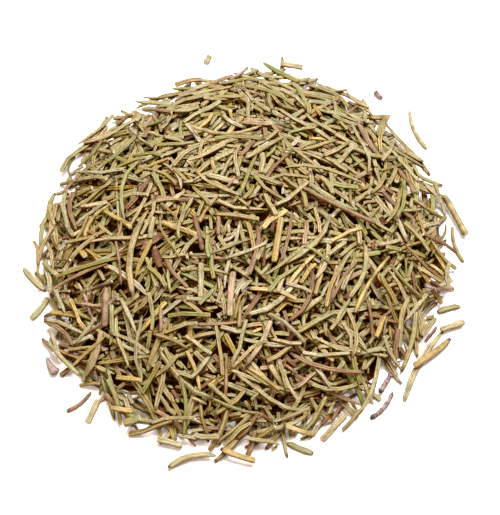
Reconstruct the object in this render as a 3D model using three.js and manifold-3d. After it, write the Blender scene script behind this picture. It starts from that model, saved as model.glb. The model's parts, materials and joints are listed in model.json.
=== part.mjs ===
// A low heap of dried, cut rosemary leaves, as poured out on a table.
// Millimetres, +Z up. The table is the plane z = 0 and the origin is on it, under the middle of the heap.
// The heap is one fused body: a dome with leaves lying over it in all directions. Single leaves and stem
// bits that lie on the heap or beside it are solids of their own.
import * as THREE from "three";
import { mergeVertices } from "three/addons/utils/BufferGeometryUtils.js";
import Module from "manifold-3d";

// The dome that fills the heap. Leaves stand out of it by about 4 mm above and 6 mm round its edge.
const DOME_WIDTH = 95;
const DOME_DEPTH = 105;
const DOME_HEIGHT = 18.2;
const DOME_EDGE_HEIGHT = 0.4;
const DOME_SIDES = 22;
const DOME_RINGS = [1, 0.88, 0.68, 0.42];
const OUTLINE_WAVES = [
  { lobes: 1, swell: 0.012, turn: 0.5 },
  { lobes: 2, swell: 0.022, turn: -1.1 },
  { lobes: 3, swell: 0.012, turn: 0.6 },
  { lobes: 5, swell: 0.012, turn: -0.3 },
];

// The leaves fused to the dome. Whole leaves taper at both ends, cut ones are short and blunt.
const LEAF_COUNT = 270;
const CUT_SHARE = 0.6;
const WHOLE_LENGTH = [11, 19];
const CUT_LENGTH = [5, 10.5];
const LEAF_WIDTH = [1.35, 1.8];
const LEAF_THICKNESS = [0.95, 1.2];
const LEAF_BOW = 0.09; // most sideways bow of a whole leaf, as a share of its length
const WHOLE_TAPER = [0.6, 0.35]; // width at the stalk end and at the tip, as shares of the full width
const CUT_TAPER = [1, 1];
const WHOLE_STATIONS = 3;
const CUT_STATIONS = 2;
const LEAF_SINK = 0.45; // how far a fused leaf is pressed into what it lies on
const OUTER_SHARE = 1; // the outermost leaf centres, as a share of the dome's edge
const LEAF_TIP = 0.3; // the most that a fused leaf's slope differs from the dome's under it

// Fusing leaves edges no shorter than this.
const SHORTEST_EDGE = 0.01;
const MERGE_DISTANCE = 1e-4;

// A single piece lies this far clear of what it rests on, because meshes hold 32-bit numbers.
const CLEAR_GAP = 0.4;
const SINGLE_TIP = 0.1; // the most that a single piece's slope differs from the dome's under it

// The heights that pieces come to rest on are kept on a square grid.
const GRID_STEP = 0.4;
const GRID_REACH = 72;
const GRID_SIDE = Math.ceil((2 * GRID_REACH) / GRID_STEP);
const LANES = [-0.3, 0, 0.3]; // places across a piece where it is set on the grid, as shares of its width

// How the leaves are strewn: along a golden spiral, in a stride that never lays one beside the last.
const SEED = 946;
const DRAW_FACTOR = 48271;
const DRAW_RANGE = 2147483647;
const SCATTER_STRIDE = 137;
const GOLDEN_ANGLE = Math.PI * (3 - Math.sqrt(5));
const HEADING_SPREAD = [1.2, 0.7]; // most turn from along the edge, amid the heap and at its edge, in pi

// The finishes, in the colours that the dried plant has.
const COLOURS = {
  sage: "#a3a06c",
  khaki: "#b3a56a",
  ochre: "#c4a04c",
  tan: "#b08d66",
  pale: "#c2b98a",
  stem: "#8c6f5c",
  bark: "#86543a",
  flower: "#8b7478",
};

// The kinds of single piece: width, thickness, end widths as shares, the cross-section and its stations.
const KINDS = {
  whole: { width: 1.7, thickness: 1.1, taper: [0.6, 0.3], section: "leaf", stations: 6 },
  cut: { width: 1.7, thickness: 1.1, taper: [0.95, 0.95], section: "leaf", stations: 4 },
  stem: { width: 1.9, thickness: 1.7, taper: [0.95, 0.85], section: "round", stations: 4 },
  stick: { width: 1.35, thickness: 1.25, taper: [0.95, 0.85], section: "round", stations: 4 },
  twig: { width: 1.1, thickness: 1.0, taper: [0.9, 0.7], section: "round", stations: 6 },
  bark: { width: 2.2, thickness: 0.8, taper: [0.95, 0.9], section: "leaf", stations: 3 },
  stalk: { width: 1.5, thickness: 1.3, taper: [0.9, 0.6], section: "round", stations: 7 },
};

// Cross-sections as points across the width and up the thickness, anticlockwise seen from the tip.
const SECTIONS = {
  wedge: [[0.5, 0], [0, 1], [-0.5, 0]],
  leaf: [[0.3, 0], [0.5, 0.4], [0.26, 1], [-0.26, 1], [-0.5, 0.4], [-0.3, 0]],
  round: [[0.25, 0], [0.5, 0.5], [0.25, 1], [-0.25, 1], [-0.5, 0.5], [-0.25, 0]],
};

// Single pieces: where the middle lies, heading as an angle in degrees from +X, length, and sideways bow.
const LYING_ON_HEAP = {
  long_leaf: { kind: "whole", colour: "khaki", x: -25.2, y: -9.1, angle: 83, length: 23.5, bow: 2.6 },
  bark_chip: { kind: "bark", colour: "bark", x: -19.5, y: -11.4, angle: 107, length: 5 },
  brown_stem: { kind: "stick", colour: "stem", x: -9.9, y: -6.6, angle: 102, length: 9.5 },
  ochre_leaf: { kind: "cut", colour: "ochre", x: 8.7, y: -8.9, angle: 81, length: 11 },
  tan_leaf: { kind: "cut", colour: "tan", x: -2.2, y: -22.1, angle: 86, length: 10.5, bow: 0.2 },
  thick_stem: { kind: "stem", colour: "stem", x: -31.6, y: -21.7, angle: 89, length: 9 },
  cross_twig: { kind: "twig", colour: "stem", x: -34.2, y: -15.9, angle: 178, length: 8, bow: 0.2 },
  tan_stem: { kind: "stick", colour: "tan", x: 23.3, y: 1.9, angle: 156, length: 19, bow: 0.3 },
  ochre_twig: { kind: "twig", colour: "ochre", x: 30.5, y: -15.5, angle: 61, length: 17.5, bow: 0.9 },
  ochre_arc: { kind: "twig", colour: "ochre", x: -35.4, y: 3.3, angle: 52, length: 9, bow: 1.3 },
  pale_arc: { kind: "twig", colour: "pale", x: -3.5, y: 25.2, angle: 2, length: 17, bow: -2.6 },
};
const LYING_BESIDE_HEAP = {
  stray_stem: { kind: "stem", colour: "khaki", x: 52.7, y: 10.3, angle: 113, length: 12.3 },
  stray_leaf_1: { kind: "twig", colour: "khaki", x: 52.5, y: 2.5, angle: 102, length: 10.5, bow: 0.9 },
  stray_leaf_2: { kind: "twig", colour: "pale", x: 44.2, y: 37.2, angle: 108, length: 12.5, bow: 1.1 },
  stray_crumb_1: { kind: "cut", colour: "flower", x: 35.2, y: 48.3, angle: 132, length: 2.6 },
  stray_cut_1: { kind: "cut", colour: "pale", x: 13, y: 56, angle: 173, length: 5.7 },
  stray_crumb_2: { kind: "cut", colour: "sage", x: -8.8, y: 60, angle: 69, length: 2.4 },
  stray_leaf_3: { kind: "whole", colour: "sage", x: -50.2, y: -7.5, angle: 131, length: 9, bow: 0.4 },
  stray_leaf_4: { kind: "cut", colour: "khaki", x: -48.1, y: -16, angle: 58, length: 6.7, bow: -0.4 },
  flower_cup: { kind: "stalk", colour: "flower", x: -44.7, y: -31.8, angle: 118, length: 5, bow: 0.3 },
  stray_cut_2: { kind: "cut", colour: "sage", x: -16.2, y: -52.5, angle: 165, length: 6 },
  stray_leaf_5: { kind: "whole", colour: "khaki", x: -11.2, y: -56.4, angle: 14, length: 11.5, bow: 1.6 },
  stray_leaf_6: { kind: "whole", colour: "ochre", x: -0.6, y: -56.2, angle: 161, length: 8.5, bow: 0.3 },
  stray_leaf_7: { kind: "whole", colour: "sage", x: 13.6, y: -53.5, angle: 155, length: 6.8, bow: 0.3 },
  stray_cut_3: { kind: "cut", colour: "pale", x: 21.5, y: -48.1, angle: 50, length: 8.6 },
  flower_stalk_1: { kind: "stalk", colour: "flower", x: 33.9, y: -36.8, angle: 60, length: 5.9 },
  flower_stalk_2: { kind: "stalk", colour: "flower", x: 33.2, y: -42.6, angle: 52, length: 8.8, bow: -0.8 },
  stray_leaf_8: { kind: "whole", colour: "pale", x: 42.5, y: -31, angle: 62, length: 22, bow: 1.4 },
  stray_leaf_9: { kind: "cut", colour: "ochre", x: 45.3, y: -28.9, angle: 41, length: 12, bow: -0.4 },
  stray_cut_4: { kind: "cut", colour: "pale", x: 50.3, y: -21.2, angle: 21, length: 6.3 },
  stray_leaf_10: { kind: "whole", colour: "sage", x: 49.9, y: -15.8, angle: 17, length: 6, bow: 0.3 },
  stray_leaf_11: { kind: "twig", colour: "stem", x: -37.4, y: -41.6, angle: 43, length: 7.4, bow: -0.7 },
  stray_cut_5: { kind: "cut", colour: "pale", x: -34.3, y: -43.8, angle: 70, length: 6.2 },
};

const wasm = await Module();
wasm.setup();

// Seeded draws, the same on every run.
let drawState = SEED;
function draw() {
  drawState = (drawState * DRAW_FACTOR) % DRAW_RANGE;
  return drawState / DRAW_RANGE;
}

function drawBetween([low, high]) {
  return low + (high - low) * draw();
}

// The heap's uneven outline, as a factor on the dome's ellipse at an angle round it.
function outline(angle) {
  const swells = OUTLINE_WAVES.map(({ lobes, swell, turn }) => swell * Math.cos(lobes * angle + turn));
  return swells.reduce((sum, swell) => sum + swell, 1);
}

// The point at a share of the way from the middle to the dome's edge, in the direction of an angle.
function planPoint(share, angle) {
  const reach = share * outline(angle);
  return [(DOME_WIDTH / 2) * reach * Math.cos(angle), (DOME_DEPTH / 2) * reach * Math.sin(angle)];
}

// The dome's height at a share of the way to its edge, and over a point of the table.
function heightAtShare(share) {
  return DOME_EDGE_HEIGHT + (DOME_HEIGHT - DOME_EDGE_HEIGHT) * (1 - share * share);
}

function domeHeight([x, y]) {
  const across = x / (DOME_WIDTH / 2);
  const along = y / (DOME_DEPTH / 2);
  const share = Math.hypot(across, along) / outline(Math.atan2(along, across));
  return share > 1 ? 0 : heightAtShare(share);
}

// The resting heights: the table, raised by the sink so that fused leaves end on z = 0, and the dome.
const heights = new Float64Array(GRID_SIDE * GRID_SIDE);
for (let row = 0; row < GRID_SIDE; row += 1) {
  for (let column = 0; column < GRID_SIDE; column += 1) {
    const x = (column + 0.5) * GRID_STEP - GRID_REACH;
    const y = (row + 0.5) * GRID_STEP - GRID_REACH;
    heights[row * GRID_SIDE + column] = Math.max(LEAF_SINK, domeHeight([x, y]));
  }
}

function cellAt([x, y]) {
  const column = Math.floor((x + GRID_REACH) / GRID_STEP);
  const row = Math.floor((y + GRID_REACH) / GRID_STEP);
  return row * GRID_SIDE + column;
}

// The plan of a bowed piece: along its heading by u and to its left by v, from its middle.
function onPiece(piece, u, v) {
  const bowed = piece.bow * (1 / 3 - (2 * u / piece.length) ** 2) + v;
  const [cos, sin] = [Math.cos(piece.heading), Math.sin(piece.heading)];
  return [piece.x + u * cos - bowed * sin, piece.y + u * sin + bowed * cos];
}

// How much of its full width and thickness a piece has at u: it narrows over the last stretch at each end.
function fullness(piece, u) {
  const end = piece.taper[u < 0 ? 0 : 1];
  const stretch = piece.length / (piece.stations - 1);
  const fromEnd = piece.length / 2 - Math.abs(u);
  return THREE.MathUtils.lerp(end, 1, Math.min(1, fromEnd / stretch));
}

// The grid cells under a piece, in rows from its stalk end to its tip, with none at its middle.
function cellsUnder(piece) {
  const steps = 2 * Math.ceil(piece.length / GRID_STEP) + 1;
  return Array.from({ length: steps + 1 }, (_, i) => {
    const u = (i / steps - 0.5) * piece.length;
    return { u, cells: LANES.map((lane) => cellAt(onPiece(piece, u, lane * piece.width))) };
  });
}

// A piece rests on the two supports, one each side of its middle, that hold the middle highest. It tips
// only so far from the dome's own slope, and then lies on whatever it touches first.
function settled(piece, mostTip) {
  const supports = cellsUnder(piece).map(({ u, cells }) => {
    return { u, height: Math.max(...cells.map((cell) => heights[cell])) };
  });
  let best = { middle: -Infinity, slope: 0 };
  for (const back of supports.filter(({ u }) => u < 0)) {
    for (const front of supports.filter(({ u }) => u > 0)) {
      const slope = (front.height - back.height) / (front.u - back.u);
      const middle = back.height - slope * back.u;
      if (middle > best.middle) best = { middle, slope };
    }
  }
  const [stalkEnd, tip] = [-0.5, 0.5].map((end) => domeHeight(onPiece(piece, end * piece.length, 0)));
  const domeSlope = (tip - stalkEnd) / piece.length;
  const slope = THREE.MathUtils.clamp(best.slope, domeSlope - mostTip, domeSlope + mostTip);
  const middle = Math.max(...supports.map(({ u, height }) => height - slope * u));
  return { ...piece, middle, slope };
}

// Lays a settled piece at an offset from its supports, and raises the resting heights by it.
function laid(piece, offset) {
  const placed = { ...piece, middle: piece.middle + offset };
  for (const { u, cells } of cellsUnder(placed)) {
    const under = placed.middle + placed.slope * u;
    const thickness = placed.thickness * fullness(placed, u);
    cells.forEach((cell, lane) => {
      const top = under + thickness * (1 - 2 * Math.abs(LANES[lane]));
      heights[cell] = Math.max(heights[cell], top);
    });
  }
  return placed;
}

// A closed body through rings of points that run anticlockwise, seen from the last ring.
function bodyThrough(rings) {
  const sides = rings[0].length;
  const triangles = [];
  for (let ring = 0; ring + 1 < rings.length; ring += 1) {
    for (let side = 0; side < sides; side += 1) {
      const [a, b] = [ring * sides + side, ring * sides + ((side + 1) % sides)];
      triangles.push(a, b, b + sides, a, b + sides, a + sides);
    }
  }
  const last = (rings.length - 1) * sides;
  for (let side = 1; side + 1 < sides; side += 1) {
    triangles.push(0, side + 1, side, last, last + side, last + side + 1);
  }
  const geometry = new THREE.BufferGeometry();
  geometry.setAttribute("position", new THREE.Float32BufferAttribute(rings.flat(2), 3));
  return geometry.setIndex(triangles);
}

// A leaf, stem or chip: its cross-section carried along the piece, narrowing to both ends.
function pieceGeometry(piece, section) {
  const rings = Array.from({ length: piece.stations }, (_, station) => {
    const u = (station / (piece.stations - 1) - 0.5) * piece.length;
    const scale = fullness(piece, u);
    return section.map(([across, up]) => {
      const [x, y] = onPiece(piece, u, across * scale * piece.width);
      return [x, y, piece.middle + piece.slope * u + up * scale * piece.thickness];
    });
  });
  return bodyThrough(rings);
}

function domeGeometry() {
  const angles = Array.from({ length: DOME_SIDES }, (_, side) => (2 * Math.PI * side) / DOME_SIDES);
  const foot = angles.map((angle) => [...planPoint(1, angle), 0]);
  const rings = DOME_RINGS.map((share) => {
    return angles.map((angle) => [...planPoint(share, angle), heightAtShare(share)]);
  });
  const crown = angles.map(() => [0, 0, DOME_HEIGHT]);
  return bodyThrough([foot, ...rings, crown]);
}

function solidOf(geometry) {
  const merged = mergeVertices(geometry, MERGE_DISTANCE);
  const vertProperties = merged.attributes.position.array;
  const triVerts = new Uint32Array(merged.index.array);
  return new wasm.Manifold(new wasm.Mesh({ numProp: 3, vertProperties, triVerts }));
}

// Fuses bodies and keeps the largest: sealed hollows are filled and loose scraps dropped.
function fused(geometries) {
  const whole = wasm.Manifold.union(geometries.map(solidOf));
  const [largest] = whole.simplify(SHORTEST_EDGE).decompose().sort((a, b) => b.volume() - a.volume());
  const { vertProperties, triVerts } = largest.getMesh();
  const geometry = new THREE.BufferGeometry();
  geometry.setAttribute("position", new THREE.BufferAttribute(vertProperties, 3));
  return geometry.setIndex(new THREE.BufferAttribute(triVerts, 1));
}

// One leaf of the heap. A golden spiral spreads them evenly, and each is turned at random: towards the
// edge of the heap more of them lie along the edge than across it.
function heapLeaf(index) {
  const place = (index * SCATTER_STRIDE) % LEAF_COUNT;
  const share = OUTER_SHARE * Math.sqrt((place + 0.5) / LEAF_COUNT);
  const angle = place * GOLDEN_ANGLE;
  const [x, y] = planPoint(share, angle);
  const isCut = draw() < CUT_SHARE;
  const length = drawBetween(isCut ? CUT_LENGTH : WHOLE_LENGTH);
  const width = drawBetween(LEAF_WIDTH);
  const thickness = drawBetween(LEAF_THICKNESS);
  const bow = isCut ? 0 : length * LEAF_BOW * (2 * draw() - 1);
  const taper = isCut ? CUT_TAPER : WHOLE_TAPER;
  const stations = isCut ? CUT_STATIONS : WHOLE_STATIONS;
  const turn = (draw() + draw() - 1) * Math.PI * THREE.MathUtils.lerp(...HEADING_SPREAD, share);
  const heading = angle + Math.PI / 2 + turn;
  const leaf = { x, y, heading, length, width, thickness, bow, taper, stations };
  return laid(settled(leaf, LEAF_TIP), -LEAF_SINK);
}

function namedMesh(name, geometry, colour) {
  const material = new THREE.MeshStandardMaterial({ color: COLOURS[colour], roughness: 0.75, metalness: 0 });
  const mesh = new THREE.Mesh(geometry, material);
  mesh.name = name;
  return mesh;
}

function leafHeap() {
  const leaves = Array.from({ length: LEAF_COUNT }, (_, index) => heapLeaf(index));
  const bodies = leaves.map((leaf) => pieceGeometry(leaf, SECTIONS.wedge));
  return namedMesh("leaf_heap", fused([domeGeometry(), ...bodies]), "sage");
}

function singlePiece([name, { kind, colour, angle, x, y, length, bow = 0 }]) {
  const { section, ...size } = KINDS[kind];
  const heading = THREE.MathUtils.degToRad(angle);
  const piece = settled({ x, y, heading, length, bow, ...size }, SINGLE_TIP);
  const onTable = piece.middle <= LEAF_SINK;
  const placed = laid(piece, onTable ? -LEAF_SINK : CLEAR_GAP);
  return namedMesh(name, pieceGeometry(placed, SECTIONS[section]), colour);
}

const heap = new THREE.Group();
heap.add(leafHeap());
heap.add(...Object.entries({ ...LYING_ON_HEAP, ...LYING_BESIDE_HEAP }).map(singlePiece));

export default heap;
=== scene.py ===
"""A low heap of dried, cut rosemary leaves on a pale table, with stray leaves round its edge.

The solids give the heap's form and the place of every single piece. This script drops the real number of
leaves onto that form, one by one, and gives each its rolled margins, cut ends and colour.
"""

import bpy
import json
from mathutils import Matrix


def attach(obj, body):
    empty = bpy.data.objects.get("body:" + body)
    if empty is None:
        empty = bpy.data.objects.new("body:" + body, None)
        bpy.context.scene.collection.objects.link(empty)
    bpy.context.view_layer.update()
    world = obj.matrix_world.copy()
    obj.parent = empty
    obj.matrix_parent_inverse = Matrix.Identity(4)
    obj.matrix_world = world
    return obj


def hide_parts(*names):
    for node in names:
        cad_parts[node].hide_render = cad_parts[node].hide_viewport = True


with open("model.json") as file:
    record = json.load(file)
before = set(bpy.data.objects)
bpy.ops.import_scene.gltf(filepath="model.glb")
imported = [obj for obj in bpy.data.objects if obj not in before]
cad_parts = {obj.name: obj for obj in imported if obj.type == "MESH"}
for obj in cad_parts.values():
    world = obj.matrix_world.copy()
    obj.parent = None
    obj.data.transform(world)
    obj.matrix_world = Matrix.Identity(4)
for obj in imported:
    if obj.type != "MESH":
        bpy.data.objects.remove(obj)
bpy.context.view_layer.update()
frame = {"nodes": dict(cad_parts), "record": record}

import json
import math
from dataclasses import dataclass

import bpy
import numpy as np
from mathutils import Vector

MM = 0.001

# The dome that the heap's solid is built on, in mm, and its uneven outline as lobes, swell and turn.
DOME_WIDTH = 95
DOME_DEPTH = 105
DOME_HEIGHT = 18.2
DOME_EDGE_HEIGHT = 0.4
OUTLINE_WAVES = [(1, 0.012, 0.5), (2, 0.022, -1.1), (3, 0.012, 0.6), (5, 0.012, -0.3)]

# The leaves that the solid has fused to its dome, by the same rule and draws.
COVER_COUNT = 270
COVER_SEED = 946
COVER_STRIDE = 137
COVER_SINK = 0.45
COVER_TIP = 0.3
COVER_SLIM = 0.86  # their widths as shares of the solid's, which has fewer leaves
COVER_LOOK_SEED = 77
CUT_SHARE = 0.6
WHOLE_LENGTH = (11, 19)
CUT_LENGTH = (5, 10.5)
LEAF_WIDTH = (1.35, 1.8)
LEAF_THICKNESS = (0.95, 1.2)
LEAF_BOW = 0.09
HEADING_SPREAD = (1.2, 0.7)  # most turn from lying along the rim, amid the heap and at its edge, in pi
GOLDEN_ANGLE = math.pi * (3 - math.sqrt(5))

# The loose leaves, in mm and shares.
LOOSE_SINK = 0.35  # how far each is pressed into those below it
LOOSE_TIP = 0.4  # the most that its slope differs from the dome's under it
LOOSE_SPREAD = (1.2, 0.55)
PLACE_STIR = 0.1  # the most that its place is turned round the heap, in radians
LEAF_REACH = 1.08  # no end is further out than this share of the way to the dome's edge
RIM_SWELLS = [(math.radians(50), 0.045), (math.radians(-78), 0.035), (math.radians(170), 0.03)]
SWELL_WIDTH = math.radians(16)
END_CEILING = 0.9  # how much higher than its middle's ceiling a leaf's ends may stand
INNER_DEPTH = 6.2  # how far below the dome the leaves begin that show in the gaps

# The leaf dust inside the heap, coloured near black as painted shade of the deep gaps between the leaves, in
# mm and shares.
CORE_DEPTH = 6.7
CORE_SHARE = 0.91
CORE_RINGS = 24
CORE_SIDES = 96
DUST_DEPTH = 0.3  # under the rim
DUST_WAVES = [(7, 0.02, 0.4), (11, 0.02, 1.9), (17, 0.015, 0.9)]

# The grid of heights that leaves come to rest on, in mm.
GRID_STEP = 0.4
GRID_REACH = 72
GRID_SIDE = math.ceil(2 * GRID_REACH / GRID_STEP)
LANES = (-0.3, 0.0, 0.3)  # places across a leaf, in widths
ENDS = (-0.5, 0.5)  # places along it, in lengths

# Sections, clockwise from the top, in half widths: across, up, and the mark that the finishes colour by,
# with painted shade.
# The mark is 0 on the upper midline, 1 on the rolled margin and 2 in the slit between the margins, which are
# painted darker as shade.
LEAF_RIGHT = [(0.46, 0.7, 0.35), (0.86, 0.4, 0.75), (0.96, -0.12, 1), (0.58, -0.58, 1.3), (0.07, -0.5, 1.75)]
LEAF_LEFT = [(-across, up, mark) for across, up, mark in reversed(LEAF_RIGHT)]
CHIP_TOP = [(-0.95, -0.2, 0.2), (0, 0.22, 0.5), (0.95, -0.2, 0.2)]
CHIP_HOLLOW = [(0.9, -0.42, 1), (0, -0.08, 1.2), (-0.9, -0.42, 1)]
STEM_SIDES = 8
STEM_RIBS = 4
STEM_BULGE = (0.9, 0.1)
STEM_MARK = 0.5
SLIT_MARK = 2


def stem_section():
    """A round section with low ribs."""
    points = []
    for turn in np.arange(STEM_SIDES) * 2 * math.pi / STEM_SIDES:
        bulge = STEM_BULGE[0] + STEM_BULGE[1] * math.cos(STEM_RIBS * turn)
        points.append((math.sin(turn) * bulge, math.cos(turn) * bulge, STEM_MARK))
    return points


SECTIONS = {
    "leaf": [(0, 0.6, 0)] + LEAF_RIGHT + [(0, -0.36, SLIT_MARK)] + LEAF_LEFT,
    "stem": stem_section(),
    "chip": CHIP_TOP + CHIP_HOLLOW,
}
SECTION_OF_KIND = {"stem": "stem", "twig": "stem", "stalk": "stem", "cup": "stem", "chip": "chip"}

# Stations along each kind, as the place along it and how full it is there.
STATIONS = {
    "whole": ((-0.5, 0.5), (-0.43, 0.82), (-0.22, 0.99), (0.02, 1), (0.24, 0.95), (0.42, 0.68), (0.5, 0.2)),
    "cut": ((-0.5, 0.8), (-0.46, 0.98), (-0.16, 1), (0.16, 1), (0.46, 0.98), (0.5, 0.8)),
    "bit": ((-0.5, 0.85), (0, 1), (0.5, 0.85)),
    "base": ((-0.5, 0.5), (-0.42, 0.82), (-0.15, 1), (0.15, 1), (0.46, 0.98), (0.5, 0.8)),
    "tip": ((-0.5, 0.8), (-0.46, 0.98), (-0.12, 1), (0.2, 0.93), (0.41, 0.64), (0.5, 0.2)),
    "stem": ((-0.5, 0.8), (-0.42, 1.04), (-0.3, 0.86), (-0.1, 1), (0.1, 0.82), (0.25, 1.06), (0.4, 0.88),
             (0.5, 0.75)),
    "twig": ((-0.5, 0.75), (-0.42, 1), (-0.2, 1), (0, 0.96), (0.2, 0.92), (0.42, 0.84), (0.5, 0.6)),
    "stalk": ((-0.5, 0.5), (-0.4, 1), (-0.28, 0.7), (-0.15, 1), (-0.02, 0.7), (0.12, 1), (0.26, 0.66),
              (0.4, 0.9), (0.5, 0.4)),
    "cup": ((-0.5, 0.6), (-0.3, 0.75), (0, 1.1), (0.25, 1.55), (0.42, 1.65), (0.5, 1.35)),
    "chip": ((-0.5, 0.7), (-0.15, 1), (0.5, 0.8)),
    "crumb": ((-0.5, 0.7), (0, 1), (0.5, 0.6)),
}
# The stretch of a whole leaf that each kind is, from the stalk end at 0 to the tip at 1.
STRETCH = {
    "whole": (0, 1), "cut": (0.3, 0.7), "bit": (0.3, 0.7), "base": (0, 0.6), "tip": (0.45, 1),
    "stem": (0.2, 0.8), "twig": (0.1, 1), "stalk": (0, 1), "cup": (0.1, 1), "chip": (0.2, 0.8),
    "crumb": (0.3, 0.7),
}
FULL_WAVER = (0.9, 1.06)  # how much fuller or thinner a station may be
WAVER_SEED = 101

# The kinds of loose leaf: shortest and longest, narrowest and widest, and most bow as a share of the length.
LOOSE_KINDS = {
    "cut": ((4.5, 11), (0.98, 1.5), 0.08),
    "base": ((6.5, 14), (0.92, 1.42), 0.11),
    "tip": ((6.5, 14), (0.92, 1.42), 0.13),
    "whole": ((11, 19), (0.92, 1.45), 0.16),
    "bit": ((1.8, 4.8), (0.8, 1.25), 0.05),
    "stem": ((3, 9), (0.75, 1.4), 0.04),
    "chip": ((2, 4.5), (0.9, 1.5), 0.04),
    "crumb": ((0.9, 2.2), (0.6, 1.1), 0.0),
}
LEAF_KINDS = {"cut": 0.24, "base": 0.17, "tip": 0.18, "whole": 0.36, "stem": 0.045, "chip": 0.005}
BIT_KINDS = {"bit": 0.62, "cut": 0.1, "stem": 0.08, "chip": 0.03, "crumb": 0.17}

# Shares of the finishes among the leaves, at the front and at the back, which is greener.
FINISHES = {
    "sage": (0.36, 0.64), "khaki": (0.29, 0.21), "ochre": (0.07, 0.05), "tan": (0.2, 0.03),
    "pale": (0.08, 0.07),
}
FINISH_REACH = 45  # mm from the middle to where the change ends
STEM_FINISHES = {"stem": 0.7, "tan": 0.2, "khaki": 0.1}
FINISHES_OF_KIND = {"stem": STEM_FINISHES, "chip": {"bark": 1}}

# How leaves roll about their length as they land, in degrees, and bend, as shares of the length.
LOOSE_ROLLS = {0: 0.45, 180: 0.4, 80: 0.15}
COVER_ROLLS = {0: 0.55, 180: 0.45}
ROLL_SPREAD = 25
MOST_TWIST = 35
ARCH = (-0.02, 0.06)
SWAY = (-0.03, 0.03)

# Seeded draws multiply their state by the first and keep the rest of a division by the second.
DRAW_FACTOR = 48271
DRAW_CYCLE = 2147483647


class Draws:
    """Seeded draws, the same on every run."""

    def __init__(self, seed):
        self.state = seed

    def unit(self):
        self.state = self.state * DRAW_FACTOR % DRAW_CYCLE
        return self.state / DRAW_CYCLE

    def between(self, low, high):
        return low + (high - low) * self.unit()

    def pick(self, weights):
        """A key of weights, drawn in proportion to its weight."""
        mark = self.unit() * sum(weights.values())
        for key, weight in weights.items():
            mark -= weight
            if mark < 0:
                return key
        return key


# The heap's form

def outline(angle):
    return 1 + sum(swell * np.cos(lobes * angle + turn) for lobes, swell, turn in OUTLINE_WAVES)


def plan_point(share, angle):
    reach = share * outline(angle)
    return DOME_WIDTH / 2 * reach * math.cos(angle), DOME_DEPTH / 2 * reach * math.sin(angle)


def dome_share(x, y):
    """How far out a point of the table is, as a share of the way to the dome's edge."""
    across = x / (DOME_WIDTH / 2)
    along = y / (DOME_DEPTH / 2)
    return np.hypot(across, along) / outline(np.arctan2(along, across))


def dome_height(x, y):
    share = dome_share(x, y)
    height = DOME_EDGE_HEIGHT + (DOME_HEIGHT - DOME_EDGE_HEIGHT) * (1 - share ** 2)
    return np.where(share > 1, 0.0, height)


# Leaves and how they come to rest

def rolled_reach(section, roll):
    """How far a rolled section reaches below and above its middle, in half widths."""
    heights = [up * math.cos(roll) - across * math.sin(roll) for across, up, mark in SECTIONS[section]]
    return -min(heights), max(heights)


@dataclass
class Leaf:
    """A leaf, stem bit or chip that lies with its middle over x, y. Lengths are in mm, angles in radians."""
    x: float
    y: float
    heading: float
    length: float
    width: float
    thickness: float
    bow: float = 0.0
    kind: str = "cut"
    finish: str = "sage"
    middle: float = 0.0  # height of its underside at its middle
    slope: float = 0.0
    lift: float = 0.0  # from its underside up to its middle line
    arch: float = 0.0
    sway: float = 0.0
    roll: float = 0.0
    twist: float = 0.0
    tone: float = 0.5

    @property
    def section(self):
        return SECTION_OF_KIND.get(self.kind, "leaf")

    def lie_rolled(self):
        """Sets its thickness and the height of its middle line, as it is rolled."""
        below, above = rolled_reach(self.section, self.roll)
        self.thickness = (below + above) * self.width / 2
        self.lift = below * self.width / 2

    def plan(self, u, v):
        """The point along its heading by u and to its left by v, from its middle."""
        bowed = self.bow * (1 / 3 - (2 * u / self.length) ** 2) + v
        bowed = bowed + self.sway * np.sin(2 * math.pi * u / self.length)
        cos, sin = math.cos(self.heading), math.sin(self.heading)
        return self.x + u * cos - bowed * sin, self.y + u * sin + bowed * cos


class Ground:
    """The heights that leaves come to rest on, over a square of the table."""

    def __init__(self, lowered, table):
        axis = (np.arange(GRID_SIDE) + 0.5) * GRID_STEP - GRID_REACH
        x, y = np.meshgrid(axis, axis)
        self.heights = np.maximum(table, dome_height(x, y) - lowered).ravel()
        self.taken = np.zeros(self.heights.shape, bool)

    def under(self, leaf):
        """Places along the leaf, none at its middle, and the cells under each lane of it."""
        steps = 2 * math.ceil(leaf.length / GRID_STEP) + 1
        u = (np.arange(steps + 1) / steps - 0.5) * leaf.length
        cells = []
        for lane in LANES:
            x, y = leaf.plan(u, lane * leaf.width)
            column = np.floor((x + GRID_REACH) / GRID_STEP).astype(int)
            row = np.floor((y + GRID_REACH) / GRID_STEP).astype(int)
            cells.append(row * GRID_SIDE + column)
        return u, np.array(cells)

    def settle(self, leaf, most_tip, offset):
        """Tips the leaf as the two supports do that hold its middle highest, and lowers it to touch."""
        u, cells = self.under(leaf)
        height = self.heights[cells].max(axis=0)
        back, front = u < 0, u > 0
        slope = (height[front] - height[back][:, None]) / (u[front] - u[back][:, None])
        middle = height[back][:, None] - slope * u[back][:, None]
        best = slope.ravel()[middle.argmax()]
        base, tip = (dome_height(*leaf.plan(end * leaf.length, 0)) for end in ENDS)
        dome_slope = (tip - base) / leaf.length
        leaf.slope = float(np.clip(best, dome_slope - most_tip, dome_slope + most_tip))
        leaf.middle = float((height - leaf.slope * u).max() + offset)

    def lay(self, leaf, taken=False):
        """Raises the ground by a leaf that has settled."""
        u, cells = self.under(leaf)
        for lane, row in zip(LANES, cells):
            top = leaf.middle + leaf.slope * u + leaf.thickness * (1 - 2 * abs(lane))
            np.maximum.at(self.heights, row, top)
            self.taken[row] |= taken

    def is_taken(self, leaf):
        return self.taken[self.under(leaf)[1]].any()


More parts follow.
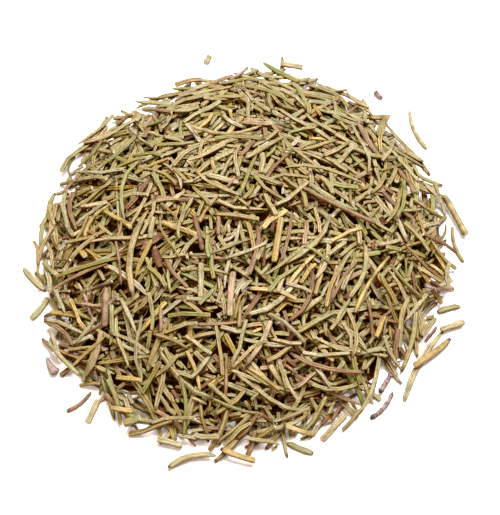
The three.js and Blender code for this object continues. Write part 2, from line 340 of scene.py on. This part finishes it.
def dress(leaf, draws, rolls):
    """Gives a leaf its chance traits: finish, tone, roll, twist and bends."""
    back = min(max(0.5 + leaf.y / (2 * FINISH_REACH), 0), 1)
    leaf_finishes = {finish: front + (rear - front) * back for finish, (front, rear) in FINISHES.items()}
    leaf.finish = draws.pick(FINISHES_OF_KIND.get(leaf.kind, leaf_finishes))
    leaf.tone = draws.unit()
    leaf.roll = math.radians(draws.pick(rolls) + draws.between(-ROLL_SPREAD, ROLL_SPREAD))
    leaf.twist = math.radians(draws.between(-MOST_TWIST, MOST_TWIST))
    leaf.arch = leaf.length * draws.between(*ARCH)
    leaf.sway = leaf.length * draws.between(*SWAY)


def rim_swell(angle):
    """How much further out the loose leaves lie in some directions."""
    return 1 + sum(extra * math.exp(-(math.remainder(angle - middle, 2 * math.pi) / SWELL_WIDTH) ** 2)
                   for middle, extra in RIM_SWELLS)


def turned(angle, share, spreads, draws):
    """A heading round the heap, give or take, the more so near its middle."""
    spread = spreads[0] + (spreads[1] - spreads[0]) * share
    return angle + math.pi / 2 + (draws.unit() + draws.unit() - 1) * math.pi * spread


def cover_leaves(ground):
    """The leaves that the solid has, in the same places."""
    draws = Draws(COVER_SEED)
    looks = Draws(COVER_LOOK_SEED)
    leaves = []
    for number in range(COVER_COUNT):
        place = number * COVER_STRIDE % COVER_COUNT
        share = math.sqrt((place + 0.5) / COVER_COUNT)
        angle = place * GOLDEN_ANGLE
        x, y = plan_point(share, angle)
        is_cut = draws.unit() < CUT_SHARE
        length = draws.between(*(CUT_LENGTH if is_cut else WHOLE_LENGTH))
        width = draws.between(*LEAF_WIDTH)
        thickness = draws.between(*LEAF_THICKNESS)
        bow = 0.0 if is_cut else length * LEAF_BOW * (2 * draws.unit() - 1)
        heading = turned(angle, share, HEADING_SPREAD, draws)
        leaf = Leaf(x, y, heading, length, width, thickness, bow, "cut" if is_cut else "whole")
        ground.settle(leaf, COVER_TIP, -COVER_SINK)
        ground.lay(leaf)
        dress(leaf, looks, COVER_ROLLS)
        leaf.width *= COVER_SLIM
        leaf.lift = leaf.thickness / 2
        leaves.append(leaf)
    return leaves


def is_astray(leaf, ceiling, swell):
    """Whether a leaf has come to rest too high above the dome, or with an end too high or too far out."""
    top = leaf.middle + leaf.thickness
    ends = [leaf.plan(end * leaf.length, 0) for end in ENDS]
    end_tops = [top + end * leaf.length * leaf.slope for end in ENDS]
    is_high = top > dome_height(leaf.x, leaf.y) + ceiling
    is_up = max(height - dome_height(*end) for height, end in zip(end_tops, ends)) > ceiling + END_CEILING
    is_out = max(dome_share(*end) for end in ends) > LEAF_REACH * swell
    return is_high or is_up or is_out


def loose_leaves(ground, kinds, count, stride, seed, shares, ceiling):
    """Leaves strewn evenly from one share of the way out to another, each dropped on those before it."""
    draws = Draws(seed)
    leaves = []
    for number in range(count):
        place = number * stride % count
        even = (place + draws.unit()) / count
        share = math.sqrt(shares[0] ** 2 + (shares[1] ** 2 - shares[0] ** 2) * even)
        angle = place * GOLDEN_ANGLE + draws.between(-PLACE_STIR, PLACE_STIR)
        swell = rim_swell(angle)
        x, y = plan_point(share * swell, angle)
        kind = draws.pick(kinds)
        lengths, widths, most_bow = LOOSE_KINDS[kind]
        length = draws.between(*lengths)
        bow = length * most_bow * draws.between(-1, 1)
        heading = turned(angle, min(share, 1), LOOSE_SPREAD, draws)
        leaf = Leaf(x, y, heading, length, draws.between(*widths), 0, bow, kind)
        dress(leaf, draws, LOOSE_ROLLS)
        leaf.lie_rolled()
        ground.settle(leaf, LOOSE_TIP, -LOOSE_SINK)
        if is_astray(leaf, ceiling, swell) or ground.is_taken(leaf):
            continue
        ground.lay(leaf)
        leaves.append(leaf)
    return leaves


# What the eye sees on single pieces: their tones from dark to light, those of another kind than their solids
# tell, and those with the stalk end at the other end.
SINGLE_TONES = {
    "brown_stem": 0.1, "thick_stem": 0.85, "cross_twig": 0.7, "tan_leaf": 0.95, "long_leaf": 0.2,
    "ochre_leaf": 0.3, "pale_arc": 0.0, "stray_stem": 0.4, "stray_leaf_1": 0.0, "stray_leaf_2": 0.3,
    "stray_leaf_6": 0.3, "stray_leaf_8": 0.4, "stray_leaf_9": 0.2, "stray_leaf_10": 0.3, "stray_cut_1": 0.3,
    "stray_cut_3": 0.2, "stray_cut_4": 0.4, "stray_cut_5": 0.3, "stray_crumb_1": 0.0, "flower_cup": 0.5,
    "flower_stalk_1": 0.0, "flower_stalk_2": 0.0,
}
SINGLE_KINDS = {"stray_leaf_9": "base", "stray_leaf_6": "base", "flower_cup": "cup"}
TURNED_ROUND = {"stray_leaf_6", "flower_cup"}
OTHER_TONES = (0.3, 0.7)
SINGLE_ROLL = 12  # degrees, at most
SINGLE_LOOK_SEED = 4242
RING_GAP = 0.4  # mm between a solid's rings of points, at least
ROUND_SHARE = 0.8  # stems and twigs are thicker than this share of their width
THICK_STEM = 1.2  # mm
FLAT_SHARE = 0.5  # chips are thinner than this share
TAPER_SHARE = 0.8  # whole leaves are slimmer than this share at an end


def single_kind(finish, width, thickness, least_width):
    """What a single solid is, by its finish and proportions."""
    if finish == "flower":
        return "stalk"
    if thickness > ROUND_SHARE * width:
        return "stem" if width > THICK_STEM else "twig"
    if thickness < FLAT_SHARE * width:
        return "chip"
    return "whole" if least_width < TAPER_SHARE * width else "cut"


def solid_rings(solid):
    """A solid's points in mm, in the rings that it was swept with, from one end to the other."""
    points = np.unique(np.array([vertex.co for vertex in solid.data.vertices]).round(7), axis=0) / MM
    flat = (points - points.mean(axis=0))[:, :2]
    along = flat @ np.linalg.svd(flat, full_matrices=False)[2][0]
    order = along.argsort()
    return np.split(points[order], np.where(np.diff(along[order]) > RING_GAP)[0] + 1)


def single_pieces(ground):
    """The pieces that have their own solids, each read off its solid's middle line."""
    slots = {entry["node"]: entry["material_slot"] for entry in frame["record"]["subparts"]}
    looks = Draws(SINGLE_LOOK_SEED)
    singles = {}
    for node, solid in frame["nodes"].items():
        if node == "leaf_heap":
            continue
        rings = solid_rings(solid)
        line = np.array([(ring.min(axis=0) + ring.max(axis=0)) / 2 for ring in rings])
        chord = line[-1] - line[0]
        length = math.hypot(chord[0], chord[1])
        normal = np.array([-chord[1], chord[0]]) / length
        offsets = (line[:, :2] - line[0, :2]) @ normal
        bow = float(max(offsets, key=abs))
        x, y = (line[0, :2] + line[-1, :2]) / 2 + normal * bow * 2 / 3
        spans = [np.ptp(ring[:, :2] @ normal) for ring in rings]
        width = max(spans)
        thickness = max(np.ptp(ring[:, 2]) for ring in rings)
        slope = chord[2] / length
        middle = (line[0, 2] + line[-1, 2]) / 2 - thickness / 2
        finish = slots[node].replace("_leaf", "").replace("_wood", "").replace("_stalk", "")
        kind = SINGLE_KINDS.get(node, single_kind(finish, width, thickness, min(spans)))
        heading = math.atan2(chord[1], chord[0])
        if (spans[0] < spans[-1]) != (node in TURNED_ROUND):
            heading, bow, slope = heading + math.pi, -bow, -slope
        leaf = Leaf(x, y, heading, length, width, thickness, bow, kind, finish, middle, slope, thickness / 2)
        leaf.tone = SINGLE_TONES.get(node, looks.between(*OTHER_TONES))
        leaf.roll = math.radians(looks.between(-SINGLE_ROLL, SINGLE_ROLL))
        singles[node] = leaf
        ground.lay(leaf, taken=True)
    return singles


# Pieces that stand out on the heap and its rim, without solids of their own:
# kind, finish, tone, place, heading in degrees, length, width and bow.
MARKED = [
    ("whole", "sage", 0.0, 10.1, 52.7, 135, 13.6, 1.5, 0.4),
    ("whole", "khaki", 0.6, -41.6, -31.5, 133, 11.6, 1.2, 0.3),
    ("cut", "ochre", 0.1, -27.4, -45.2, -8, 5.2, 1.4, 0.0),
    ("cut", "sage", 0.3, -24.9, -48.2, 9, 3.8, 2.0, 0.0),
    ("stalk", "stem", 0.0, 46.5, -12.4, -13, 3.0, 1.4, 0.1),
    ("stalk", "tan", 0.7, 48.6, -13.2, 24, 5.0, 1.5, 0.3),
    ("stalk", "flower", 0.0, 44.9, -14.4, -17, 3.1, 1.3, 0.0),
    ("twig", "stem", 0.5, -28.6, -11.7, -82, 11.6, 0.7, 0.2),
]
# Side twigs that grow from single stems: where they start, heading in degrees, length and width.
SIDE_TWIGS = {"thick_stem": [(-31.2, -21.4, 38, 2.6, 1.2), (-32.0, -25.3, -160, 5.2, 0.8)]}


def marked_leaves(ground):
    leaves = []
    for kind, finish, tone, x, y, heading, length, width, bow in MARKED:
        leaf = Leaf(x, y, math.radians(heading), length, width, 0, bow, kind, finish, tone=tone)
        leaf.lie_rolled()
        ground.settle(leaf, LOOSE_TIP, -LOOSE_SINK)
        ground.lay(leaf)
        leaves.append(leaf)
    return leaves


def side_twigs(node, stem):
    """Twigs whose middle lines start inside the stem's, and slope as the heap does."""
    twigs = []
    for start_x, start_y, degrees, length, width in SIDE_TWIGS.get(node, []):
        heading = math.radians(degrees)
        run_x, run_y = length * math.cos(heading), length * math.sin(heading)
        along = (start_x - stem.x) * math.cos(stem.heading) + (start_y - stem.y) * math.sin(stem.heading)
        fall = float(dome_height(start_x + run_x, start_y + run_y) - dome_height(start_x, start_y))
        twig = Leaf(start_x + run_x / 2, start_y + run_y / 2, heading, length, width, width, kind="twig")
        twig.middle = stem.middle + stem.lift + stem.slope * along + fall / 2 - width / 2
        twig.slope = fall / length
        twig.lift = width / 2
        twig.tone = stem.tone
        twigs.append(twig)
    return twigs


heap = Ground(lowered=0, table=COVER_SINK)
cover = cover_leaves(heap)
singles = single_pieces(heap)
inner_ground = Ground(lowered=INNER_DEPTH, table=LOOSE_SINK)
inner = loose_leaves(inner_ground, LEAF_KINDS, count=3000, stride=367, seed=31, shares=(0, 1), ceiling=0.2)
heap.heights = np.maximum(heap.heights, inner_ground.heights)
edge = loose_leaves(heap, BIT_KINDS, count=2000, stride=311, seed=43, shares=(0.82, 1.01), ceiling=1.4)
bits = loose_leaves(heap, BIT_KINDS, count=3000, stride=389, seed=83, shares=(0, 0.95), ceiling=1.5)
rim = loose_leaves(heap, LEAF_KINDS, count=1800, stride=191, seed=47, shares=(0.76, 1.05), ceiling=4.0)
top = loose_leaves(heap, LEAF_KINDS, count=2600, stride=233, seed=59, shares=(0, 0.97), ceiling=3.1)
marked = marked_leaves(heap)


# From leaves to meshes

def middle_lines(leaves, name):
    """A mesh of the leaves' middle lines, with what the sweep and the finishes read at each point."""
    points, edges = [], []
    values = {"half_width": [], "roll": [], "run": [], "along": [], "tone": []}
    draws = Draws(WAVER_SEED)
    for leaf in leaves:
        start, end = STRETCH[leaf.kind]
        for number, (place, full) in enumerate(STATIONS[leaf.kind]):
            u = place * leaf.length
            x, y = leaf.plan(u, 0)
            half_width = leaf.width / 2 * full * draws.between(*FULL_WAVER)
            roll = leaf.roll + leaf.twist * place
            resting = rolled_reach(leaf.section, roll)[0] * half_width
            z = leaf.middle + leaf.slope * u + leaf.lift + leaf.arch * (0.25 - place ** 2)
            z = max(z, resting)
            if number:
                edges.append((len(points) - 1, len(points)))
            points.append((x * MM, y * MM, z * MM))
            values["half_width"].append(half_width * MM)
            values["roll"].append(roll)
            values["run"].append(u)
            values["along"].append(start + (end - start) * (place + 0.5))
            values["tone"].append(leaf.tone)
    mesh = bpy.data.meshes.new(name)
    mesh.from_pydata(points, edges, [])
    for key, numbers in values.items():
        mesh.attributes.new(key, "FLOAT", "POINT").data.foreach_set("value", numbers)
    return mesh


def section_object(name):
    """A section as a closed line, for the sweep."""
    points = SECTIONS[name]
    mesh = bpy.data.meshes.new(f"section_{name}")
    sides = [(number, (number + 1) % len(points)) for number in range(len(points))]
    mesh.from_pydata([(across, -up, 0) for across, up, mark in points], sides, [])
    marks = [mark for across, up, mark in points]
    mesh.attributes.new("side", "FLOAT", "POINT").data.foreach_set("value", marks)
    return bpy.data.objects.new(mesh.name, mesh)


def linear(code):
    """The linear colour of an sRGB hex code."""
    parts = (int(code[place:place + 2], 16) / 255 for place in (1, 3, 5))
    return [part / 12.92 if part <= 0.04045 else ((part + 0.055) / 1.055) ** 2.4 for part in parts] + [1]


def add(tree, kind, inputs=None, stops=(), **settings):
    """Adds a node with its settings. An input is a value or a socket to link from; stops fill a ramp."""
    node = tree.nodes.new(kind)
    for name, value in settings.items():
        setattr(node, name, value)
    for key, value in (inputs or {}).items():
        if isinstance(value, bpy.types.NodeSocket):
            tree.links.new(value, node.inputs[key])
        else:
            node.inputs[key].default_value = value
    for number, (place, code) in enumerate(stops):
        elements = node.color_ramp.elements
        element = elements[number] if number < len(elements) else elements.new(place)
        element.position, element.color = place, linear(code)
    return node


SWEEP_INPUTS = {
    "Middle lines": "Geometry", "Section": "Object", "Half width": "Float", "Roll": "Float",
    "Finish": "Material",
}
SIDE_CORNERS = 4  # a face on a leaf's side has as many, and a face on its end has more


def sweep_tree():
    """Sweeps a section along every middle line, as wide and as rolled as the line's points say."""
    tree = bpy.data.node_groups.new("leaf_sweep", "GeometryNodeTree")
    for name, kind in SWEEP_INPUTS.items():
        tree.interface.new_socket(name, in_out="INPUT", socket_type=f"NodeSocket{kind}")
    tree.interface.new_socket("Leaves", in_out="OUTPUT", socket_type="NodeSocketGeometry")
    given = add(tree, "NodeGroupInput").outputs
    section = add(tree, "GeometryNodeObjectInfo", {"Object": given["Section"]})
    rim = add(tree, "GeometryNodeMeshToCurve", {"Mesh": section.outputs["Geometry"]})
    lines = add(tree, "GeometryNodeMeshToCurve", {"Mesh": given["Middle lines"]})
    upright = add(tree, "GeometryNodeSetCurveNormal", {"Curve": lines.outputs["Curve"]}, mode="Z_UP")
    rolled = add(tree, "GeometryNodeSetCurveTilt",
                 {"Curve": upright.outputs["Curve"], "Tilt": given["Roll"]})
    swept = add(tree, "GeometryNodeCurveToMesh",
                {"Curve": rolled.outputs["Curve"], "Profile Curve": rim.outputs["Curve"],
                 "Scale": given["Half width"], "Fill Caps": True})
    corners = add(tree, "GeometryNodeCornersOfFace").outputs["Total"]
    is_side = add(tree, "FunctionNodeCompare", {2: corners, 3: SIDE_CORNERS},
                  data_type="INT", operation="EQUAL")
    is_end = add(tree, "FunctionNodeCompare", {2: corners, 3: SIDE_CORNERS},
                 data_type="INT", operation="GREATER_THAN")
    smooth = add(tree, "GeometryNodeSetShadeSmooth",
                 {"Geometry": swept.outputs["Mesh"], "Shade Smooth": is_side.outputs["Result"]})
    ended = add(tree, "GeometryNodeStoreNamedAttribute",
                {"Geometry": smooth.outputs["Geometry"], "Name": "cut_end",
                 "Value": is_end.outputs["Result"]}, data_type="FLOAT", domain="FACE")
    real = add(tree, "GeometryNodeRealizeInstances", {"Geometry": ended.outputs["Geometry"]})
    finished = add(tree, "GeometryNodeSetMaterial",
                   {"Geometry": real.outputs["Geometry"], "Material": given["Finish"]})
    add(tree, "NodeGroupOutput", {"Leaves": finished.outputs["Geometry"]})
    return tree


# Finishes. Patterns on the leaves are finer than a pixel in life, so they are drawn coarse enough to show.

STREAK_LENGTH = 3.0  # mm along the leaf
STREAK_WIDTH = 0.15  # mm across it
STREAK_DEPTH = 0.15  # mm
STREAK_SHADES = [(0.34, "#a0968a"), (0.56, "#ffffff")]
PATCH_LENGTH = 5.0  # mm
PATCH_WIDTH = 1.2  # mm
PATCH_RANGE = (0.42, 0.7)  # of the noise, from no age to most
PATCH_MOST = 0.75
GRAIN_SIZE = 0.5  # mm
GRAIN_SHADES = [(0.36, "#d2cabc"), (0.58, "#ffffff")]
HALF_WIDTH = 0.6  # mm, a usual leaf's
STREAK_SHIFT = 97  # how far a full step of tone moves the streaks, so that no two leaves have the same
PATCH_SHIFT = 61
# Painted shade round a leaf, from its upper midline over the margin, which is at the middle, to the slit
# below: darker in the upper groove, along the rolled margin where the side turns from the light, and in the
# slit.
PAINTED_SIDE_SHADE = [(0.0, "#b4a684"), (0.1, "#ffffff"), (0.36, "#ece2d0"), (0.5, "#a08660"), (0.62, "#fff8ee"),
               (0.8, "#f4ead8"), (0.96, "#a08058")]
STALK_END = "#947456"
TIP_END = "#d8c8a8"
PITH = "#8c8268"  # of a cut end
WHITE = "#ffffff"
LEAF_IOR = 1.45
LEAF_SPECULAR = 0.34  # a little dusty


def dry_skin(name, tones, aged, roughness, stalk_end=STALK_END):
    """Dry plant skin. Tones run from leaf to leaf; streaks, age and ends vary it on each, and painted shade
    darkens its upper groove, margins and slit.
    """
    material = bpy.data.materials.new(name)
    material.use_nodes = True
    tree = material.node_tree
    shader = tree.nodes["Principled BSDF"]
    tone, along, side, run, cut_end = (add(tree, "ShaderNodeAttribute", attribute_name=key).outputs["Fac"]
                                       for key in ("tone", "along", "side", "run", "cut_end"))
    base = add(tree, "ShaderNodeValToRGB", {"Fac": tone},
               [(number / (len(tones) - 1), code) for number, code in enumerate(tones)])
    place = add(tree, "ShaderNodeCombineXYZ", {"X": run, "Y": side, "Z": tone}).outputs["Vector"]
    broad = add(tree, "ShaderNodeMapping",
                {"Vector": place, "Scale": (1 / PATCH_LENGTH, HALF_WIDTH / PATCH_WIDTH, PATCH_SHIFT)})
    patch = add(tree, "ShaderNodeTexNoise", {"Vector": broad.outputs["Vector"], "Scale": 1.0, "Detail": 1.0})
    patches = add(tree, "ShaderNodeMapRange",
                  {0: patch.outputs["Fac"], 1: PATCH_RANGE[0], 2: PATCH_RANGE[1], 3: 0.0, 4: PATCH_MOST})
    colour = add(tree, "ShaderNodeMix",
                 {0: patches.outputs["Result"], 6: base.outputs["Color"], 7: linear(aged)}, data_type="RGBA")
    fine = add(tree, "ShaderNodeMapping",
               {"Vector": place, "Scale": (1 / STREAK_LENGTH, HALF_WIDTH / STREAK_WIDTH, STREAK_SHIFT)})
    streak = add(tree, "ShaderNodeTexNoise", {"Vector": fine.outputs["Vector"], "Scale": 1.0, "Detail": 3.0})
    spot = add(tree, "ShaderNodeTexCoord")
    grain = add(tree, "ShaderNodeTexNoise",
                {"Vector": spot.outputs["Object"], "Scale": 1 / (GRAIN_SIZE * MM), "Detail": 2.0})
    # The side mark lays painted shade: darker in the upper groove, along the rolled margins and in the slit.
    half_side = add(tree, "ShaderNodeMath", {0: side, 1: 1 / SLIT_MARK}, operation="MULTIPLY")
    end_shades = [(0.0, stalk_end), (0.035, stalk_end), (0.065, WHITE), (0.93, WHITE), (1.0, TIP_END)]
    for driver, stops in ((streak.outputs["Fac"], STREAK_SHADES), (grain.outputs["Fac"], GRAIN_SHADES),
                          (half_side.outputs["Value"], PAINTED_SIDE_SHADE), (along, end_shades)):
        shades = add(tree, "ShaderNodeValToRGB", {"Fac": driver}, stops)
        colour = add(tree, "ShaderNodeMix", {0: 1.0, 6: colour.outputs[2], 7: shades.outputs["Color"]},
                     data_type="RGBA", blend_type="MULTIPLY")
    colour = add(tree, "ShaderNodeMix",
                 {0: cut_end, 6: colour.outputs[2], 7: linear(PITH)}, data_type="RGBA")
    bump = add(tree, "ShaderNodeBump",
               {"Height": streak.outputs["Fac"], "Strength": 0.5, "Distance": STREAK_DEPTH * MM})
    tree.links.new(colour.outputs[2], shader.inputs["Base Color"])
    tree.links.new(bump.outputs["Normal"], shader.inputs["Normal"])
    shader.inputs["Roughness"].default_value = roughness
    shader.inputs["IOR"].default_value = LEAF_IOR
    shader.inputs["Specular IOR Level"].default_value = LEAF_SPECULAR
    return material


SCAR_SPACING = 0.6  # mm between the dark scars on a flower stalk
SCAR_DEPTH = 0.2  # mm
SCAR_SHADES = [(0.32, "#120606"), (0.46, "#4e3b37"), (0.75, "#66544d")]
DOWN = "#6e6059"
BROKEN_ENDS = [(0.0, "#2a1012"), (0.07, "#3a2022"), (0.12, WHITE), (0.92, WHITE), (1.0, "#6a4a4a")]
STALK_ROUGHNESS = 0.9


def flower_stalk_skin():
    """Downy mauve stalk, grey in the light, with dark scars where flowers were, and dark broken ends."""
    material = bpy.data.materials.new("downy flower stalk")
    material.use_nodes = True
    tree = material.node_tree
    shader = tree.nodes["Principled BSDF"]
    tone, along = (add(tree, "ShaderNodeAttribute", attribute_name=key).outputs["Fac"]
                   for key in ("tone", "along"))
    spot = add(tree, "ShaderNodeTexCoord")
    scars = add(tree, "ShaderNodeTexVoronoi",
                {"Vector": spot.outputs["Object"], "Scale": 1 / (SCAR_SPACING * MM)}).outputs["Distance"]
    skin = add(tree, "ShaderNodeValToRGB", {"Fac": scars}, SCAR_SHADES)
    downy = add(tree, "ShaderNodeMix",
                {0: tone, 6: skin.outputs["Color"], 7: linear(DOWN)}, data_type="RGBA")
    ends = add(tree, "ShaderNodeValToRGB", {"Fac": along}, BROKEN_ENDS)
    colour = add(tree, "ShaderNodeMix", {0: 1.0, 6: downy.outputs[2], 7: ends.outputs["Color"]},
                 data_type="RGBA", blend_type="MULTIPLY")
    bump = add(tree, "ShaderNodeBump", {"Height": scars, "Strength": 0.6, "Distance": SCAR_DEPTH * MM})
    tree.links.new(colour.outputs[2], shader.inputs["Base Color"])
    tree.links.new(bump.outputs["Normal"], shader.inputs["Normal"])
    shader.inputs["Roughness"].default_value = STALK_ROUGHNESS
    return material


GRIT_SIZE = 0.7  # mm
GRIT_DEPTH = 0.4  # mm
# Painted shade: the dust is far darker than any leaf, so that the gaps between the leaves look deep.
GRIT_AND_GAP_SHADE = [(0.35, "#22130a"), (0.65, "#402812")]


def leaf_dust_painted_as_gap_shade():
    """Packed leaf dust inside the heap, its dark brown deepened to near black as painted shade of the gaps
    between leaves, and without any sheen.
    """
    material = bpy.data.materials.new("packed leaf dust")
    material.use_nodes = True
    tree = material.node_tree
    shader = tree.nodes["Principled BSDF"]
    spot = add(tree, "ShaderNodeTexCoord")
    grit = add(tree, "ShaderNodeTexNoise",
               {"Vector": spot.outputs["Object"], "Scale": 1 / (GRIT_SIZE * MM), "Detail": 3.0})
    colour = add(tree, "ShaderNodeValToRGB", {"Fac": grit.outputs["Fac"]}, GRIT_AND_GAP_SHADE)
    bump = add(tree, "ShaderNodeBump",
               {"Height": grit.outputs["Fac"], "Strength": 1.0, "Distance": GRIT_DEPTH * MM})
    tree.links.new(colour.outputs["Color"], shader.inputs["Base Color"])
    tree.links.new(bump.outputs["Normal"], shader.inputs["Normal"])
    shader.inputs["Roughness"].default_value = 1.0
    shader.inputs["Specular IOR Level"].default_value = 0.0
    return material


MATERIALS = {
    # Shade-dried skin keeps a grey green, with a faint waxy sheen on the upper side.
    "sage": dry_skin("shade-dried leaf skin", ["#56602f", "#676a41", "#747354", "#7e806c"], aged="#735f30",
                     roughness=0.6),
    # Air-dried skin has faded to a straw green.
    "khaki": dry_skin("air-dried leaf skin", ["#6d5c36", "#796e4a", "#877d60"], aged="#626739",
                      roughness=0.6),
    # Sun-dried skin has gone golden, with dark stalk ends.
    "ochre": dry_skin("sun-dried leaf skin", ["#76652f", "#827340", "#8e8156"], aged="#6c572c",
                      roughness=0.6, stalk_end="#3e1a14"),
    # Aged skin has gone brown, and its margins show as thin parallel lines of painted shade.
    "tan": dry_skin("aged leaf skin", ["#563c26", "#68543a", "#877860"], aged="#4e3822", roughness=0.62),
    # The woolly underside is pale and dull.
    "pale": dry_skin("woolly leaf underside", ["#7e6f46", "#7c7a60", "#8b897a"], aged="#6e6648",
                     roughness=0.7, stalk_end="#c0ae92"),
    # Thin stem skin is brown to mauve grey, dull and ribbed.
    "stem": dry_skin("dried stem skin", ["#4e3526", "#604a3a", "#7c6a5c"], aged="#452f25", roughness=0.8),
    # Bark flakes are red brown and dull.
    "bark": dry_skin("flaked bark", ["#40240f", "#4c2e15", "#583a1e"], aged="#301b0c", roughness=0.8),
    "flower": flower_stalk_skin(),
    # Leaf dust, coloured near black as painted shade of the gaps between leaves.
    "dust": leaf_dust_painted_as_gap_shade(),
}
SWEEP = sweep_tree()
SECTION_OBJECTS = {name: section_object(name) for name in SECTIONS}
LINE_SIZES = {"Half width": "half_width", "Roll": "roll"}  # the sweep's sizes that the lines' points hold


def swept_piece(name, leaves, section, finish, node):
    """A piece of leaves swept with one section and one finish, which stands in for a solid."""
    piece = bpy.data.objects.new(name, middle_lines(leaves, name))
    bpy.context.scene.collection.objects.link(piece)
    modifier = piece.modifiers.new("sweep", "NODES")
    modifier.node_group = SWEEP
    sockets = SWEEP.interface.items_tree
    given = {socket.name: socket.identifier for socket in sockets if socket.in_out == "INPUT"}
    modifier[given["Section"]] = SECTION_OBJECTS[section]
    modifier[given["Finish"]] = MATERIALS[finish]
    for size, attribute in LINE_SIZES.items():
        modifier[given[size] + "_use_attribute"] = True
        modifier[given[size] + "_attribute_name"] = attribute
    graph = bpy.context.evaluated_depsgraph_get()
    mesh = bpy.data.meshes.new_from_object(piece.evaluated_get(graph), depsgraph=graph)
    piece.modifiers.remove(modifier)
    piece.data = mesh
    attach(piece, "root")
    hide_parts(node)


def heap_pieces(layer, leaves):
    """The leaves of a layer, in a piece for each section and finish."""
    groups = {}
    for leaf in leaves:
        groups.setdefault((leaf.section, leaf.finish), []).append(leaf)
    for (section, finish), group in sorted(groups.items()):
        swept_piece(f"{layer}_{section}_{finish}", group, section, finish, "leaf_heap")


heap_pieces("heap", cover + edge + rim + top + bits + marked)
heap_pieces("inner", inner)
for node, leaf in singles.items():
    swept_piece(f"fine_{node}", [leaf] + side_twigs(node, leaf), leaf.section, leaf.finish, node)


def core_piece():
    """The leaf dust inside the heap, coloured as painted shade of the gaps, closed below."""
    points = [(0.0, 0.0, DOME_HEIGHT - CORE_DEPTH)]
    for ring in range(1, CORE_RINGS + 1):
        for side in range(CORE_SIDES):
            angle = 2 * math.pi * side / CORE_SIDES
            uneven = 1 + sum(swell * math.cos(lobes * angle + turn) for lobes, swell, turn in DUST_WAVES)
            x, y = plan_point(CORE_SHARE * uneven * ring / CORE_RINGS, angle)
            height = max(DUST_DEPTH, float(dome_height(x, y)) - CORE_DEPTH)
            points.append((x, y, height if ring < CORE_RINGS else 0.0))
    faces = [(0, 1 + side, 1 + (side + 1) % CORE_SIDES) for side in range(CORE_SIDES)]
    for ring in range(CORE_RINGS - 1):
        inside = 1 + ring * CORE_SIDES
        outside = inside + CORE_SIDES
        for side in range(CORE_SIDES):
            after = (side + 1) % CORE_SIDES
            faces.append((inside + side, outside + side, outside + after, inside + after))
    last_ring = 1 + (CORE_RINGS - 1) * CORE_SIDES
    faces.append(tuple(last_ring + side for side in reversed(range(CORE_SIDES))))
    mesh = bpy.data.meshes.new("heap_core")
    mesh.from_pydata([(x * MM, y * MM, z * MM) for x, y, z in points], [], faces)
    mesh.materials.append(MATERIALS["dust"])
    piece = bpy.data.objects.new("heap_core", mesh)
    bpy.context.scene.collection.objects.link(piece)
    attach(piece, "root")
    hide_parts("leaf_heap")


core_piece()

# The table, the light and the view, in metres

TABLE_REACH = 1.5
TABLE_CORNERS = [(-1, -1), (1, -1), (1, 1), (-1, 1)]
CARD = "#c4c2c0"
CARD_ROUGHNESS = 0.9
table_mesh = bpy.data.meshes.new("table")
table_mesh.from_pydata([(x * TABLE_REACH, y * TABLE_REACH, 0) for x, y in TABLE_CORNERS], [], [(0, 1, 2, 3)])
table = bpy.data.objects.new("table", table_mesh)
bpy.context.scene.collection.objects.link(table)
# White matte card has no grain or sheen that shows.
table_finish = bpy.data.materials.new("white matte card")
table_finish.use_nodes = True
table_shader = table_finish.node_tree.nodes["Principled BSDF"]
table_shader.inputs["Base Color"].default_value = linear(CARD)
table_shader.inputs["Roughness"].default_value = CARD_ROUGHNESS
table_mesh.materials.append(table_finish)


def area_light(name, place, size, power, code):
    """A square lamp that shines at the middle of the table."""
    lamp = bpy.data.lights.new(name, "AREA")
    lamp.size = size
    lamp.energy = power
    lamp.color = linear(code)[:3]
    light = bpy.data.objects.new(name, lamp)
    light.location = place
    light.rotation_euler = (-Vector(place)).to_track_quat("-Z", "Y").to_euler()
    bpy.context.scene.collection.objects.link(light)


area_light("key", place=(0.15, 0.2, 0.78), size=0.55, power=44, code="#fff9f3")
area_light("fill", place=(-0.4, -0.4, 0.7), size=0.8, power=9.5, code="#ffe8d8")

ROOM_LIGHT = "#ffdcc6"
ROOM_STRENGTH = 0.52
scene = bpy.context.scene
world = bpy.data.worlds.new("room")
world.use_nodes = True
world.node_tree.nodes["Background"].inputs["Color"].default_value = linear(ROOM_LIGHT)
world.node_tree.nodes["Background"].inputs["Strength"].default_value = ROOM_STRENGTH
scene.world = world
scene.view_settings.view_transform = "Standard"

# A camera's response in linear light: deep shades fall off faster and turn warmer, and highlights are held
# back. Stops of the red, green and blue curves, and of the one for all three.
RESPONSE = [
    [(0.015, 0.0185), (0.056, 0.061), (0.12, 0.122)],
    [(0.0077, 0.0068), (0.032, 0.0305), (0.08, 0.08)],
    [(0.004, 0.0015), (0.0084, 0.0055), (0.028, 0.0245), (0.072, 0.0735), (0.16, 0.166), (0.31, 0.318),
     (0.6, 0.606)],
    [(0.008, 0.0022), (0.02, 0.0095), (0.045, 0.0305), (0.09, 0.079), (0.2, 0.211), (0.4, 0.41), (0.6, 0.57),
     (0.85, 0.755)],
]
scene.view_settings.use_curve_mapping = True
response = scene.view_settings.curve_mapping
for curve, stops in zip(response.curves, RESPONSE):
    for dark, shown in stops:
        curve.points.new(dark, shown)
    for point in curve.points:
        point.handle_type = "VECTOR"
response.update()

ELEVATION = math.radians(57)
DISTANCE = 0.5
AIM = Vector((2.2 * MM, -0.9 * MM, 0))
LENS = 147.6  # mm
SENSOR_WIDTH = 36  # mm
NEAREST = 0.01
lens = bpy.data.cameras.new("view")
lens.lens = LENS
lens.sensor_width = SENSOR_WIDTH
lens.sensor_fit = "HORIZONTAL"
lens.clip_start = NEAREST
camera = bpy.data.objects.new("view", lens)
camera.location = AIM + Vector((0, -math.cos(ELEVATION), math.sin(ELEVATION))) * DISTANCE
camera.rotation_euler = (AIM - camera.location).to_track_quat("-Z", "Y").to_euler()
scene.collection.objects.link(camera)
scene.camera = camera
